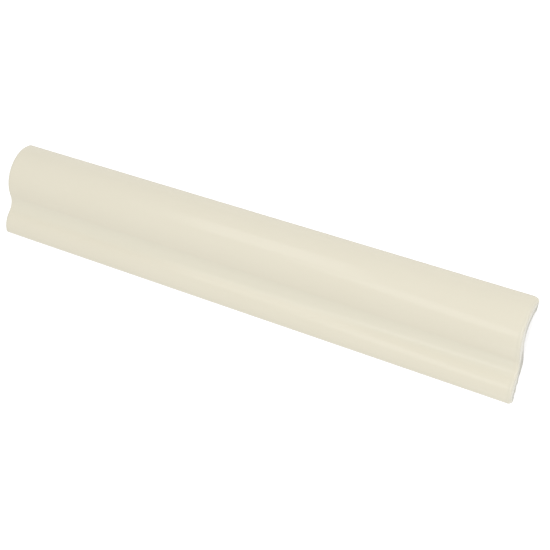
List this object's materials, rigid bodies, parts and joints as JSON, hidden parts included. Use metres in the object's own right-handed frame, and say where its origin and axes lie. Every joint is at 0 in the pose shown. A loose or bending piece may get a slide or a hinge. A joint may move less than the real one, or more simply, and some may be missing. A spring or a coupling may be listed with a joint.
{
  "type": "trim tile",
  "caption": "Long glazed ceramic wall moulding with a rounded roll, a cove and a small lip along its face, and a hollow back for adhesive.",
  "frame": {"origin": "middle of the tile's outline, on the plane of its back", "axes": "+X along the moulding, +Y across it from the lip towards the roll, +Z out of the glazed face"},
  "size_m": [0.3, 0.0494, 0.0115],
  "materials": {
    "cream_glaze": "gloss"
  },
  "bodies": {
    "root": {"trim_tile": "cream_glaze"}
  },
  "joints": []
}
